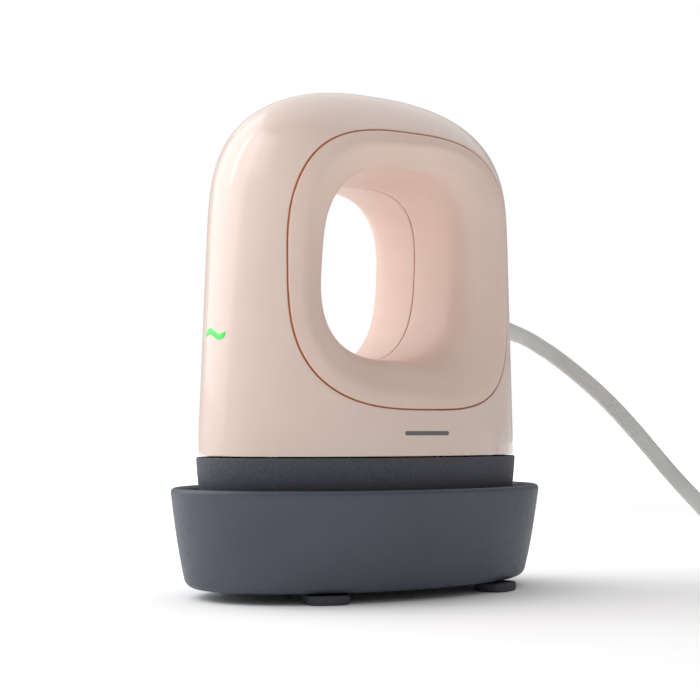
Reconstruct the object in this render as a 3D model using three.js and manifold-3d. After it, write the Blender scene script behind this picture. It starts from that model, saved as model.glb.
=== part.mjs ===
// A small upright clothes iron that stands in its insulated cradle.
// Millimetres, +Z up. The long side of the iron lies along X with the indicator end at -X and the
// cord end at +X. The origin is on the standing surface, under the middle of the cradle.

import * as THREE from "three";
import Module from "manifold-3d";
import { mergeVertices } from "three/addons/utils/BufferGeometryUtils.js";
import { ParametricGeometry } from "three/addons/geometries/ParametricGeometry.js";

const wasm = await Module();
wasm.setup();

// ---------------------------------------------------------------- driving dimensions

const GAP = 0.35; // between pieces that touch on the real object
const ROUND = 2.03; // superellipse power of the plan outlines: almost an ellipse

const cradle = {
  baseZ: 2.7,
  rimZ: 28.3,
  halfLength: 55,
  halfWidth: 36.95,
  baseHalfLength: 50.5,
  baseHalfWidth: 29.85,
  wall: 2.6,
  floor: 2.4,
  edgeRadius: 2.2,
};

const foot = { x: 27.5, y: 18.6, stemRadius: 1.5, headRadius: 1.9 };
const pad = { shiftX: 1.2, shiftY: 3.3, length: 11.4, width: 9.6, turn: 0.36 }; // shifted from its stem

const body = {
  bottomZ: 36.6,
  topZ: 134.7,
  halfLength: 47.96,
  halfWidth: 29.37,
  taper: 0.058, // the half-length lost for each millimetre of height
  endShoulderZ: 81.8, // where the ends start to turn over
  sideShoulderZ: 102.1, // where the sides start to turn over
  crownPower: 2.33,
  wall: 2.2,
};

const seam = { halfLength: 35.9, halfHeight: 36.06, z: 84.7, power: 3.11 };
const hole = { halfLength: 21.67, halfHeight: 25.1, x: -3.55, z: 86.4, power: 2.84, lean: 0.054 };
const saddle = { rimPull: 1.1, borePull: 0.7, wall: 2 };

const skirt = { bottomZ: 11, topZ: 36.2, halfLength: 48.4, halfWidth: 29.8, wall: 2.3 };
const plate = { bottomZ: 8, thickness: 5, halfLength: 41.3, halfWidth: 24.4 };
const coverZ = 19.8;
const padZ = 21.2;
const shieldZ = 24.1;
const chassis = { z: 30, thickness: 3, halfLength: 44.4, halfWidth: 26.4 };
const board = { z: 38, thickness: 1.6, length: 56, width: 32 };

const plateScrew = { x: 26, y: 15.5, radius: 1.25, length: 12, bossRadius: 2.7 };
const shellScrew = { x: 36, y: 10.5, radius: 1.1, length: 13, bossRadius: 3, bossTopZ: 47 };
const leadRadius = 0.8;
const spine = { half: 2, ringWidth: 8.2 }; // half of its thickness, and the ring's reach round the hole

const lightZ = 67.7; // the lit window; the two above it stay behind the wall
const lightPitch = 6;
const lightWave = { halfLength: 4.8, halfThickness: 0.62, swing: 0.8, halfPeriod: 4.9 };
const lightBoardX = -39.2;

const button = { z: 100, radius: 6.5, clearance: 0.45, faceX: 45, travel: 1.2, stemEndX: 38.2 };
const cord = { radius: 2.3, exitX: 46, exitZ: 74.1, dropAngle: 0.26 };
const coil = { x: 163.5, y: -24, radius: 27.6, bottomZ: 1.1, pitch: 4.8, rows: 3 };
const plug = { x: 182.5, rearY: -37.4, axisZ: 23.3, reliefLength: 12, bodyLength: 26, bladeLength: 16 };

// ---------------------------------------------------------------- materials

const looks = {
  shell: { color: 0xe3ccc1, roughness: 0.22, metalness: 0 },
  insert: { color: 0xe2cbc0, roughness: 0.5, metalness: 0 },
  skirt: { color: 0x44464e, roughness: 0.75, metalness: 0 },
  cradle: { color: 0x4b5059, roughness: 0.55, metalness: 0 },
  rubber: { color: 0x3f424a, roughness: 0.8, metalness: 0 },
  liner: { color: 0x2d2e31, roughness: 0.95, metalness: 0 },
  plate: { color: 0xb9babc, roughness: 0.35, metalness: 0.8 },
  steel: { color: 0xb4b6b8, roughness: 0.35, metalness: 1 },
  element: { color: 0x6d6a66, roughness: 0.5, metalness: 0.9 },
  mica: { color: 0xc9b58e, roughness: 0.85, metalness: 0 },
  frame: { color: 0xd9d6cf, roughness: 0.6, metalness: 0 },
  circuit: { color: 0x24563a, roughness: 0.5, metalness: 0 },
  black: { color: 0x1d1e20, roughness: 0.45, metalness: 0 },
  lamp: { color: 0xf4f1e6, roughness: 0.3, metalness: 0 },
  lit: { color: 0x35d35a, roughness: 0.3, metalness: 0 },
  clear: { color: 0xe9ebea, roughness: 0.15, metalness: 0 },
  red: { color: 0xa9322c, roughness: 0.5, metalness: 0 },
  blue: { color: 0x35507f, roughness: 0.5, metalness: 0 },
  white: { color: 0xdedfdc, roughness: 0.5, metalness: 0 },
  cord: { color: 0xb9bab7, roughness: 0.5, metalness: 0 },
};

const part = new THREE.Group();

// Adds one named piece, with a material of its own, and gives the mesh back.
function add(name, geometry, look) {
  const material = new THREE.MeshStandardMaterial(looks[look]);
  const mesh = new THREE.Mesh(geometry, material);
  mesh.name = name;
  part.add(mesh);
  return mesh;
}

// ---------------------------------------------------------------- solids

// A manifold-3d solid from a closed three.js geometry.
function solid(geometry) {
  const bare = geometry.index ? geometry.toNonIndexed() : geometry.clone();
  bare.deleteAttribute("normal");
  bare.deleteAttribute("uv");
  const merged = mergeVertices(bare, 1e-3);
  const vertProperties = new Float32Array(merged.attributes.position.array);
  const triVerts = new Uint32Array(merged.index.array);
  return new wasm.Manifold(new wasm.Mesh({ numProp: 3, vertProperties, triVerts }));
}

// A three.js geometry from a manifold-3d solid.
function geometryOf(made) {
  const mesh = made.getMesh();
  const geometry = new THREE.BufferGeometry();
  geometry.setAttribute("position", new THREE.BufferAttribute(mesh.vertProperties, 3));
  geometry.setIndex(new THREE.BufferAttribute(mesh.triVerts, 1));
  geometry.computeVertexNormals();
  return geometry;
}

function joined(...geometries) {
  return geometryOf(geometries.map(solid).reduce((whole, next) => whole.add(next)));
}

function cut(geometry, ...tools) {
  return geometryOf(tools.map(solid).reduce((whole, tool) => whole.subtract(tool), solid(geometry)));
}

function common(first, second) {
  return geometryOf(solid(first).intersect(solid(second)));
}

// ---------------------------------------------------------------- basic shapes

function box(sizeX, sizeY, sizeZ, x, y, z) {
  return new THREE.BoxGeometry(sizeX, sizeY, sizeZ).translate(x, y, z);
}

// A turned piece about Z: the profile is a list of [radius, height] pairs from the axis to the axis.
function turned(profile, sides = 20) {
  const points = profile.map(([radius, height]) => new THREE.Vector2(radius, height));
  return new THREE.LatheGeometry(points, sides).rotateX(Math.PI / 2);
}

// An upright cylinder from z0 to z1.
function post(radius, x, y, z0, z1, sides = 10) {
  const profile = [[0, z0], [radius, z0], [radius, z1], [0, z1]];
  return turned(profile, sides).translate(x, y, 0);
}

// Lays a piece that stands on Z along +X, at the height z.
function towardsRear(geometry, z) {
  return geometry.rotateY(Math.PI / 2).translate(0, 0, z);
}

// A pan-head screw whose head's underside is at z; it points down, or up when up is true.
function screw(x, y, z, shankRadius, shankLength, up) {
  const headRadius = 2 * shankRadius;
  const headHeight = 1.3 * shankRadius;
  const slot = 0.45 * headHeight;
  const profile = [
    [0, -shankLength],
    [shankRadius * 0.6, -shankLength],
    [shankRadius, -shankLength + shankRadius],
    [shankRadius, 0],
    [headRadius, 0],
    [headRadius, 0.6 * headHeight],
    [0.7 * headRadius, headHeight],
    [0.5 * shankRadius, headHeight],
    [0, headHeight - slot],
  ];
  const made = turned(profile, 8);
  if (up) made.rotateX(Math.PI);
  return made.translate(x, y, z);
}

// A round wire or cable through the given points.
function tube(points, radius, sides, steps) {
  const path = new THREE.CatmullRomCurve3(points.map((p) => new THREE.Vector3(...p)));
  const section = new THREE.Shape(
    Array.from({ length: sides }, (_, i) => {
      const angle = (2 * Math.PI * i) / sides;
      return new THREE.Vector2(radius * Math.cos(angle), radius * Math.sin(angle));
    }),
  );
  return new THREE.ExtrudeGeometry(section, { steps, extrudePath: path });
}

// An outline in the XZ plane pushed through Y, from y0 to y1.
function pushedThrough(outline, y0, y1) {
  const shape = new THREE.Shape(outline.map(([x, z]) => new THREE.Vector2(x, z)));
  const made = new THREE.ExtrudeGeometry(shape, { depth: y1 - y0, bevelEnabled: false });
  return made.rotateX(Math.PI / 2).translate(0, y1, 0);
}

// ---------------------------------------------------------------- rounded outlines

// The point of a superellipse at an angle.
function onOutline(halfLength, halfWidth, power, angle) {
  const c = Math.cos(angle);
  const s = Math.sin(angle);
  const first = halfLength * Math.sign(c) * Math.abs(c) ** (2 / power);
  const second = halfWidth * Math.sign(s) * Math.abs(s) ** (2 / power);
  return [first, second];
}

// A closed solid through level rings {a, b, z, power}. A solid piece starts and ends with a ring of
// no size; a hollow one goes up the outside and down the inside and ends on its first ring.
function loft(rings, slices = 40) {
  const surface = (u, v, target) => {
    const ring = rings[Math.round(v * (rings.length - 1))];
    const [x, y] = onOutline(ring.a, ring.b, ring.power ?? ROUND, 2 * Math.PI * (u % 1));
    target.set(x, y, ring.z);
  };
  return new ParametricGeometry(surface, slices, rings.length - 1);
}

// A flat slab with the plan outline.
function slab(halfLength, halfWidth, z0, z1, edge = 0, slices = 32) {
  const full = { a: halfLength, b: halfWidth };
  const bottom = { a: halfLength - edge, b: halfWidth - edge, z: z0 };
  const centre = { a: 0, b: 0 };
  const rings = [{ ...centre, z: z0 }, bottom];
  if (edge > 0) rings.push({ a: full.a - 0.3 * edge, b: full.b - 0.3 * edge, z: z0 + 0.3 * edge });
  if (edge > 0) rings.push({ ...full, z: z0 + edge });
  rings.push({ ...full, z: z1 }, { ...centre, z: z1 });
  return loft(rings, slices);
}

// ---------------------------------------------------------------- shape of the iron's body

function turnedOver(z, shoulderZ, power, root, top) {
  const part = Math.min(1, Math.max(0, (z - shoulderZ) / (top - shoulderZ)));
  return (1 - part ** power) ** (1 / root);
}

// The body's ring at a height; inset makes it smaller all round, for the inner face of the wall.
function bodyRing(z, inset = 0) {
  const top = body.topZ - inset;
  const straight = body.halfLength - body.taper * (z - body.bottomZ) - inset;
  const rise = Math.max(0, (z - body.bottomZ) / (body.topZ - body.bottomZ));
  return {
    a: straight * turnedOver(z, body.endShoulderZ, 5, 2.27, top),
    b: (body.halfWidth - inset) * turnedOver(z, body.sideShoulderZ, 2.07, 1.75, top),
    power: ROUND + (body.crownPower - ROUND) * rise,
    z,
  };
}

// How far the body's side stands out from the middle plane at a point of the side view.
function sideY(x, z) {
  const ring = bodyRing(z);
  const part = Math.min(0.9999, Math.abs(x) / ring.a);
  return ring.b * (1 - part ** ring.power) ** (1 / ring.power);
}

// The whole body, solid, from a start height to the crown.
function bodySolid(startZ, inset, levels, slices) {
  const top = body.topZ - inset;
  const rings = [{ a: 0, b: 0, z: startZ }];
  for (let i = 0; i <= levels; i++) {
    const rise = 1 - (1 - i / levels) ** 2.1; // the levels draw together towards the crown
    const z = startZ + (top - startZ) * Math.min(rise, 0.9995);
    rings.push(bodyRing(z, inset));
  }
  rings.push({ a: 0, b: 0, z: top });
  return loft(rings, slices);
}

function seamPoint(angle, grow = 0) {
  const [x, z] = onOutline(seam.halfLength + grow, seam.halfHeight + grow, seam.power, angle);
  return [x, seam.z + z];
}

function holePoint(angle, grow = 0) {
  const [x, z] = onOutline(hole.halfLength + grow, hole.halfHeight + grow, hole.power, angle);
  return [hole.x + x + hole.lean * z, hole.z + z];
}

function outlineOf(pointAt, grow, count) {
  return Array.from({ length: count }, (_, i) => pointAt((2 * Math.PI * i) / count, grow));
}

// ---------------------------------------------------------------- cradle

// The outer size of the cradle's wall at a height: a draft that bows in towards the base.
function cradleRing(z, inset) {
  const down = (cradle.rimZ - z) / (cradle.rimZ - cradle.baseZ);
  const bow = 0.66 * down + 0.22 * down ** 3;
  return {
    a: cradle.halfLength - (cradle.halfLength - cradle.baseHalfLength) * bow - inset,
    b: cradle.halfWidth - (cradle.halfWidth - cradle.baseHalfWidth) * bow - inset,
    z,
  };
}

function cradleTray() {
  const { baseZ, rimZ, wall, edgeRadius } = cradle;
  const floorZ = baseZ + cradle.floor;
  const outside = [0.25, 0.55, 0.8, 0.95].map((k) => cradleRing(rimZ - k * (rimZ - baseZ), 0)).reverse();
  const inside = [0.25, 0.55, 0.75].map((k) => cradleRing(rimZ - k * (rimZ - baseZ), wall));
  const rings = [
    { a: 0, b: 0, z: baseZ },
    cradleRing(baseZ, edgeRadius),
    { ...cradleRing(baseZ, 0.3 * edgeRadius), z: baseZ + 0.3 * edgeRadius },
    ...outside,
    cradleRing(rimZ - 1, 0),
    { ...cradleRing(rimZ, 0.8), z: rimZ },
    { ...cradleRing(rimZ, wall - 0.6), z: rimZ },
    cradleRing(rimZ - 1, wall),
    ...inside,
    { ...cradleRing(floorZ, wall + 1.2), z: floorZ },
    { a: 0, b: 0, z: floorZ },
  ];
  const stemHoles = footPlaces().map(([x, y]) => post(foot.stemRadius + GAP, x, y, 0, floorZ + 2));
  return cut(loft(rings, 44), ...stemHoles);
}

function corners(x, y) {
  return [[-x, -y], [x, -y], [x, y], [-x, y]];
}

// Where the stems of the feet go through the floor.
function footPlaces() {
  return corners(foot.x, foot.y);
}

// A push-in foot: a long rounded pad that follows the edge of the base, a stem and a retaining head.
function cradleFoot(x, y) {
  const topZ = cradle.baseZ - GAP;
  const headZ = cradle.baseZ + cradle.floor + GAP;
  const edge = 0.5;
  const full = { a: pad.length / 2, b: pad.width / 2, power: 3 };
  const rings = [
    { a: 0, b: 0, z: 0 },
    { ...full, a: full.a - edge, b: full.b - edge, z: 0 },
    { ...full, z: edge },
    { ...full, z: topZ },
    { a: 0, b: 0, z: topZ },
  ];
  const sole = loft(rings, 20).rotateZ(-Math.sign(x * y) * pad.turn);
  sole.translate(pad.shiftX, Math.sign(y) * pad.shiftY, 0);
  const stem = post(foot.stemRadius, 0, 0, topZ - 1, headZ + 0.6, 12);
  const head = turned([[0, headZ], [foot.headRadius, headZ], [1.2, headZ + 1.2], [0, headZ + 1.2]], 12);
  return joined(sole, stem, head).translate(x, y, 0);
}

function cradleLiner() {
  const z0 = cradle.baseZ + cradle.floor + GAP;
  const sheet = slab(41, 24, z0, plate.bottomZ - GAP, 0.6);
  const clearance = footPlaces().map(([x, y]) => post(foot.headRadius + 1, x, y, z0 - 1, z0 + 5));
  return cut(sheet, ...clearance);
}

// ---------------------------------------------------------------- outer shell and handle inserts

function outerShell() {
  const outside = bodySolid(body.bottomZ, 0, 12, 40);
  const hollow = bodySolid(body.bottomZ - 4, body.wall, 8, 28);
  const beyond = body.halfWidth + 10;
  const window = pushedThrough(outlineOf(seamPoint, GAP, 36), -beyond, beyond);
  const buttonHole = towardsRear(post(button.radius + button.clearance, 0, 0, 38, 50, 24), button.z);
  const cordHole = alongExit(post(3.75, 0, 0, -8, 6, 16));
  const lightHole = wave(GAP).translate(0, 0, lightZ);
  const hollowed = solid(cut(outside, hollow, window, buttonHole, cordHole, lightHole));
  const bosses = corners(shellScrew.x, shellScrew.y).map(([x, y]) => screwBoss(x, y));
  return geometryOf(bosses.map(solid).reduce((whole, boss) => whole.add(boss), hollowed));
}

// A boss inside the shell's foot, tied to the wall by a rib and drilled from below.
function screwBoss(x, y) {
  const z0 = body.bottomZ;
  const z1 = shellScrew.bossTopZ;
  const wallX = Math.sign(x) * (body.halfLength - body.wall / 2);
  const boss = post(shellScrew.bossRadius, x, y, z0, z1);
  const rib = box(Math.abs(wallX - x), 1.6, z1 - z0, (x + wallX) / 2, y, (z0 + z1) / 2);
  const trimmed = common(joined(boss, rib), bodySolid(body.bottomZ - 1, 0.6, 4, 40));
  return cut(trimmed, post(shellScrew.radius + GAP, x, y, z0 - 1, z1 - 1.5));
}

// One half of the saddle round the hand hole, on the side of -Y or +Y. Each stretch runs on a curve
// from the seam on the body's side, flush with the shell, to the bore at the middle plane.
function handleInsert(side) {
  const steps = 8;
  const middle = side * GAP * 0.5;
  const curveAt = (angle, grow, sink) => {
    const [seamX, seamZ] = seamPoint(angle);
    const [boreX, boreZ] = holePoint(angle, grow);
    const rim = new THREE.Vector3(seamX, side * (sideY(seamX, seamZ) - sink), seamZ);
    const bore = new THREE.Vector3(boreX, middle, boreZ);
    const corner = new THREE.Vector3(boreX, side * (sideY(boreX, boreZ) - sink), boreZ);
    const rimHandle = rim.clone().lerp(corner, saddle.rimPull);
    const boreHandle = bore.clone().lerp(corner, saddle.borePull);
    return new THREE.CubicBezierCurve3(rim, rimHandle, boreHandle, bore);
  };
  const surface = (u, v, target) => {
    const angle = side * -2 * Math.PI * (u % 1);
    const place = Math.round(v * 2 * (steps + 1)) % (2 * (steps + 1));
    const outside = place <= steps;
    const curve = outside ? curveAt(angle, 0, 0) : curveAt(angle, saddle.wall, saddle.wall);
    const along = outside ? place / steps : (2 * steps + 1 - place) / steps;
    target.copy(curve.getPoint(along));
  };
  return geometryOf(solid(new ParametricGeometry(surface, 36, 2 * (steps + 1))));
}

// ---------------------------------------------------------------- heated base

function skirtRing(z, inset) {
  const down = (skirt.topZ - z) / (skirt.topZ - skirt.bottomZ);
  const draw = 1.3 * down + 3.4 * down ** 2;
  return { a: skirt.halfLength - draw - inset, b: skirt.halfWidth - 0.8 * draw - inset, z };
}

function heatSkirt() {
  const heights = [0, 0.2, 0.45, 0.7, 0.95, 1];
  const height = skirt.topZ - skirt.bottomZ;
  const outside = heights.map((k) => skirtRing(skirt.bottomZ + k * height, k === 1 ? 0.3 : 0));
  const lip = { a: plate.halfLength + GAP, b: plate.halfWidth + GAP };
  const inside = [0.95, 0.7, 0.45, 0.2].map((k) => skirtRing(skirt.bottomZ + k * height, skirt.wall));
  const rings = [
    ...outside,
    { ...skirtRing(skirt.topZ, skirt.wall), z: skirt.topZ },
    ...inside,
    { ...lip, z: skirt.bottomZ + 2.4 },
    { ...lip, z: skirt.bottomZ },
  ];
  rings.push(rings[0]);
  return geometryOf(solid(loft(rings)));
}

// The heated sole plate with its four screw bosses cast on.
function heatPlate() {
  const topZ = plate.bottomZ + plate.thickness;
  const sole = slab(plate.halfLength, plate.halfWidth, plate.bottomZ, topZ, 1.2);
  const places = corners(plateScrew.x, plateScrew.y);
  const bosses = places.map(([x, y]) => post(plateScrew.bossRadius, x, y, topZ - 1, chassis.z - GAP));
  const bores = places.map(([x, y]) => post(plateScrew.radius + GAP, x, y, topZ + 4, chassis.z + 1));
  return cut(joined(sole, ...bosses), ...bores);
}

const elementEnds = [[31, 7], [31, -7]];

function heatingElement() {
  const z = plate.bottomZ + plate.thickness + GAP + 2.8;
  const half = [
    [31, 7, 27],
    [30.8, 7, z + 5.6],
    [29.4, 7.2, z + 1.5],
    [25, 7.7, z],
    [10, 9, z],
    [-16, 9, z],
    [-27, 5.4, z],
  ];
  const otherHalf = half.map(([x, y, height]) => [x, -y, height]).reverse();
  const route = [...half, [-31, 0, z], ...otherHalf];
  return geometryOf(solid(tube(route, 2.6, 8, 32)));
}

// A layer above the plate, with holes for the bosses, the element's ends and the two sensors.
function layer(halfLength, halfWidth, z0, thickness, sensorWindow) {
  const z1 = z0 + thickness;
  const sheet = slab(halfLength, halfWidth, z0, z1);
  const tools = corners(plateScrew.x, plateScrew.y).map(([x, y]) => post(3.2, x, y, z0 - 1, z1 + 1));
  tools.push(...elementEnds.map(([x, y]) => post(3.5, x, y, z0 - 1, z1 + 1)));
  if (sensorWindow) tools.push(box(22, 14, thickness + 2, -4, 0, (z0 + z1) / 2));
  return cut(sheet, ...tools);
}

function chassisPlate() {
  const { z, thickness, halfLength, halfWidth } = chassis;
  const topZ = z + thickness;
  const posts = corners(22, 12).map(([x, y]) => post(2.4, x, y, topZ - 1, board.z - GAP));
  const base = joined(slab(halfLength, halfWidth, z, topZ), ...posts);
  const holesFor = (fixing) =>
    corners(fixing.x, fixing.y).map(([x, y]) => post(fixing.radius + GAP, x, y, z - 1, topZ + 1));
  const leadHoles = [box(8, 19, 8, 31.5, 0, z), box(12, 8, 8, -4, 0, z)];
  return cut(base, ...holesFor(plateScrew), ...holesFor(shellScrew), ...leadHoles);
}

// The stiffening frame in the middle plane: a ring round the hand hole, two legs and a crown rib.
function spineFrame() {
  const ring = outlineOf(holePoint, spine.ringWidth, 32);
  const legs = [-1, 1].map((end) => {
    const leg = [[30, 33.4], [36, 33.4], [36, 64], [30, 70], [22, 76], [22, 64], [30, 56]];
    const outline = leg.map(([x, z]) => [end * x, z]);
    return pushedThrough(end > 0 ? outline : outline.reverse(), -spine.half, spine.half);
  });
  const crown = box(12, 2 * spine.half, 16, hole.x + 3, 0, 122);
  const whole = joined(pushedThrough(ring, -spine.half, spine.half), ...legs, crown);
  const bore = pushedThrough(outlineOf(holePoint, saddle.wall + 1, 32), -2 * spine.half, 2 * spine.half);
  const cordSpace = box(6, 6, 10, 27.3, 0, 79.5);
  return cut(whole, bore, cordSpace);
}

// ---------------------------------------------------------------- electronics

function thermalFuse() {
  const can = turned([[0, -6], [1.9, -5.4], [1.9, 5.4], [0, 6]], 12);
  return towardsRear(can, padZ + 2).translate(-4, 3.6, 0);
}

function thermistor() {
  const bead = turned([[0, -3], [1.5, -2.2], [1.5, 2.2], [0, 3]], 12);
  return towardsRear(bead, padZ + 1.6).translate(-4, -3.8, 0);
}

function terminalBlock(x, y) {
  const z = board.z + board.thickness + GAP;
  const housing = box(8, 12, 9, x, y, z + 4.5);
  const wells = [-3, 3].map((offset) => post(1.6, x, y + offset, z + 5, z + 10, 10));
  return cut(housing, ...wells);
}

// A wave-shaped light guide through the front wall, standing at the height 0.
function wave(grow) {
  const half = lightWave.halfLength + grow;
  const thick = lightWave.halfThickness + grow;
  const count = 12;
  const heightAt = (y) => -lightWave.swing * Math.sin((Math.PI * y) / lightWave.halfPeriod);
  const edge = (sign) =>
    Array.from({ length: count + 1 }, (_, i) => {
      const y = half * (1 - (2 * i) / count) * sign;
      const ends = Math.sqrt(Math.max(0, 1 - ((Math.abs(y) - half + thick) / thick) ** 2));
      const rounding = Math.abs(y) > half - thick ? Math.max(ends, 0.35) : 1;
      return new THREE.Vector2(y, heightAt(y) + sign * thick * rounding);
    });
  const shape = new THREE.Shape([...edge(1), ...edge(-1)]);
  const made = new THREE.ExtrudeGeometry(shape, { depth: 9, bevelEnabled: false });
  return made.rotateX(Math.PI / 2).rotateZ(-Math.PI / 2).translate(-41.2, 0, 0);
}

function litPipe() {
  const guide = wave(0).translate(0, 0, lightZ);
  return common(guide, bodySolid(body.bottomZ, 0, 12, 40));
}

function hiddenPipe(z) {
  return box(0.9, 8.6, 2.2, lightBoardX - 2.5, 0, z);
}

function powerButton() {
  const { radius, faceX, stemEndX } = button;
  const profile = [
    [0, stemEndX],
    [2.4, stemEndX],
    [2.4, faceX - 3.4],
    [radius, faceX - 3.4],
    [radius, faceX - 0.6],
    [radius - 0.6, faceX],
    [0, faceX + 0.25],
  ];
  return towardsRear(turned(profile, 24), button.z);
}

function tactSwitch() {
  const housing = box(3.4, 6.2, 6.2, 33.6, 0, button.z);
  const plunger = towardsRear(post(1.7, 0, 0, 35, button.stemEndX - button.travel - GAP), button.z);
  return joined(housing, plunger);
}

// ---------------------------------------------------------------- cord, coil and plug

// Points of the cord from the strain relief down to the table and along it to the coil.
const hangingRoute = [
  [56.6, 0, 71.4],
  [60.5, -0.5, 69.9],
  [64.4, -1.9, 67.6],
  [68, -4.2, 64.7],
  [71.3, -7.2, 61.2],
  [74.2, -10.7, 57.3],
  [76.8, -14.6, 53],
  [79.2, -18.7, 48.2],
  [81.6, -22.9, 42.8],
  [84.2, -27.1, 37],
  [87.2, -31.1, 31],
  [90.6, -34.9, 25.3],
  [94.2, -38.6, 19.7],
  [98.2, -42.3, 14.6],
  [102.9, -45.7, 10.2],
  [108.4, -48.7, 6.8],
  [114.6, -51, 4.6],
  [121.2, -52.8, 3.4],
  [128, -54.1, 3],
  [134.9, -55, 3.1],
  [141.8, -55.6, 3.3],
];

// Points of the cord from the coil's top turn up to the plug, which lies on the coil.
const tailRoute = [
  [176.7, -51, 18.3],
  [178.9, -48.6, 19.9],
  [180.4, -46, 21.1],
  [181.6, -43.3, 22.1],
  [182.3, -40.4, 22.9],
  [182.5, -37.4, 23.3],
];

// The tapered sleeve at the shell's rear wall, with its flange inside; it drops a little outwards.
function cordBushing() {
  const profile = [
    [0, -13],
    [3.4, -13],
    [5.4, -12.6],
    [5.4, -11.2],
    [3.4, -10.8],
    [3.3, -3],
    [2.9, 6],
    [2.5, 10.4],
    [0, 10.4],
  ];
  return alongExit(turned(profile, 16));
}

// Turns a piece that stands on Z to the cord's way out, with its zero height at the rear wall.
function alongExit(geometry) {
  return geometry.rotateY(Math.PI / 2 + cord.dropAngle).translate(cord.exitX, 0, cord.exitZ);
}

// The sheathed end of the cord inside the rear pillar, and the saddle that holds it.
function cordInnerEnd() {
  return alongExit(post(cord.radius, 0, 0, -19.5, -13 - GAP, 12));
}

function cordClamp() {
  const bar = box(4, 13, 2.6, 30.4, 0, 83.2);
  const feet = [-5.2, 5.2].map((y) => box(4, 2.4, 11, 30.4, y, 77.5));
  return joined(bar, ...feet);
}

function cordCoil() {
  const half = (coil.pitch * coil.rows) / 2;
  const height = coil.pitch * coil.rows;
  const edge = 1.6;
  const corner = (side, level) => [
    [coil.radius + side * half, coil.bottomZ + (level ? height - edge : edge)],
    [coil.radius + side * (half - edge), coil.bottomZ + (level ? height : 0)],
  ];
  const profile = [
    ...corner(-1, 0),
    ...corner(1, 0).reverse(),
    ...corner(1, 1),
    ...corner(-1, 1).reverse(),
  ];
  profile.push(profile[0]);
  return geometryOf(solid(turned(profile, 36).translate(coil.x, coil.y, 0)));
}

// A strap round the coil's turns, on the side that faces the iron.
function coilTie() {
  const wide = coil.pitch * coil.rows + 2 * GAP;
  const thick = 0.7;
  const width = 7;
  const midZ = coil.bottomZ + wide / 2 - GAP;
  const outer = box(width, wide + 2 * thick, wide + 2 * thick, 0, coil.radius, midZ);
  const inner = box(width + 2, wide + 0.6, wide, 0, coil.radius, midZ);
  return cut(outer, inner).rotateZ(Math.PI / 2).translate(coil.x, coil.y, 0);
}

function plugBody() {
  const bodyEnd = plug.reliefLength + plug.bodyLength;
  const rings = [
    { a: 0, b: 0, z: 0.3 },
    { a: 3.1, b: 3.1, z: 0.3 },
    { a: 4, b: 3.9, z: plug.reliefLength - 1 },
    { a: 6.5, b: 5.4, z: plug.reliefLength + 1, power: 2.6 },
    { a: 9.6, b: 7, z: plug.reliefLength + 8, power: 3.2 },
    { a: 12, b: 7.5, z: bodyEnd - 6, power: 4 },
    { a: 12, b: 7.5, z: bodyEnd, power: 4 },
    { a: 0, b: 0, z: bodyEnd },
  ];
  return geometryOf(solid(loft(rings, 24))).rotateX(-Math.PI / 2).translate(plug.x, plug.rearY, plug.axisZ);
}

function plugBlade(offset) {
  const start = plug.rearY + plug.reliefLength + plug.bodyLength + GAP;
  const blade = box(1.5, plug.bladeLength, 6.3, plug.x + offset, start + plug.bladeLength / 2, plug.axisZ);
  const eye = post(1.5, 0, 0, -3, 3, 12).rotateY(Math.PI / 2);
  return cut(blade, eye.translate(plug.x + offset, start + plug.bladeLength - 4, plug.axisZ));
}

// ---------------------------------------------------------------- assembly

add("cradle_tray", cradleTray(), "cradle");
add("cradle_liner", cradleLiner(), "liner");
footPlaces().forEach(([x, y], i) => add(`cradle_foot_${i + 1}`, cradleFoot(x, y), "rubber"));

add("outer_shell", outerShell(), "shell");
add("left_handle_insert", handleInsert(-1), "insert");
add("right_handle_insert", handleInsert(1), "insert");
add("heat_skirt", heatSkirt(), "skirt");
add("heat_plate", heatPlate(), "plate");
add("heating_element", heatingElement(), "element");
add("element_cover", layer(38, 21.5, coverZ, 1, false), "steel");
add("insulation_pad", layer(39, 22.5, padZ, 2.4, true), "mica");
add("heat_shield", layer(40, 23.5, shieldZ, 0.8, true), "steel");
add("chassis_plate", chassisPlate(), "frame");
add("spine_frame", spineFrame(), "frame");

corners(plateScrew.x, plateScrew.y).forEach(([x, y], i) => {
  const z = chassis.z + chassis.thickness + GAP;
  add(`plate_screw_${i + 1}`, screw(x, y, z, plateScrew.radius, plateScrew.length, false), "steel");
});
corners(shellScrew.x, shellScrew.y).forEach(([x, y], i) => {
  const z = chassis.z - GAP;
  add(`shell_screw_${i + 1}`, screw(x, y, z, shellScrew.radius, shellScrew.length, true), "steel");
});

const boardMiddle = board.z + board.thickness / 2;
const boardTop = board.z + board.thickness + GAP;
add("control_board", box(board.length, board.width, board.thickness, 0, 0, boardMiddle), "circuit");
add("heater_relay", box(19, 10, 11, -8, 0, boardTop + 5.5), "black");
add("filter_capacitor", box(15, 7, 9, 9.5, -9.5, boardTop + 4.5), "blue");
add("microcontroller", box(7, 7, 1.2, 10, 9, boardTop + 0.6), "black");
add("terminal_block", terminalBlock(22, 0), "frame");
add("thermal_fuse", thermalFuse(), "white");
add("thermistor", thermistor(), "white");

add("light_board", box(1.4, 12, 24, lightBoardX, 0, lightZ + lightPitch), "circuit");
["low", "medium", "high"].forEach((level, i) => {
  const z = lightZ + i * lightPitch;
  add(`indicator_led_${level}`, box(0.9, 3, 1.8, lightBoardX - 0.7 - GAP - 0.2, 0, z), "lamp");
  const pipe = i === 0 ? litPipe() : hiddenPipe(z);
  add(`light_pipe_${level}`, pipe, i === 0 ? "lit" : "clear");
});

add("power_button", powerButton(), "insert");
add("tact_switch", tactSwitch(), "black");
add("button_board", box(1.4, 13, 16, 30.8, 0, button.z), "circuit");

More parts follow.
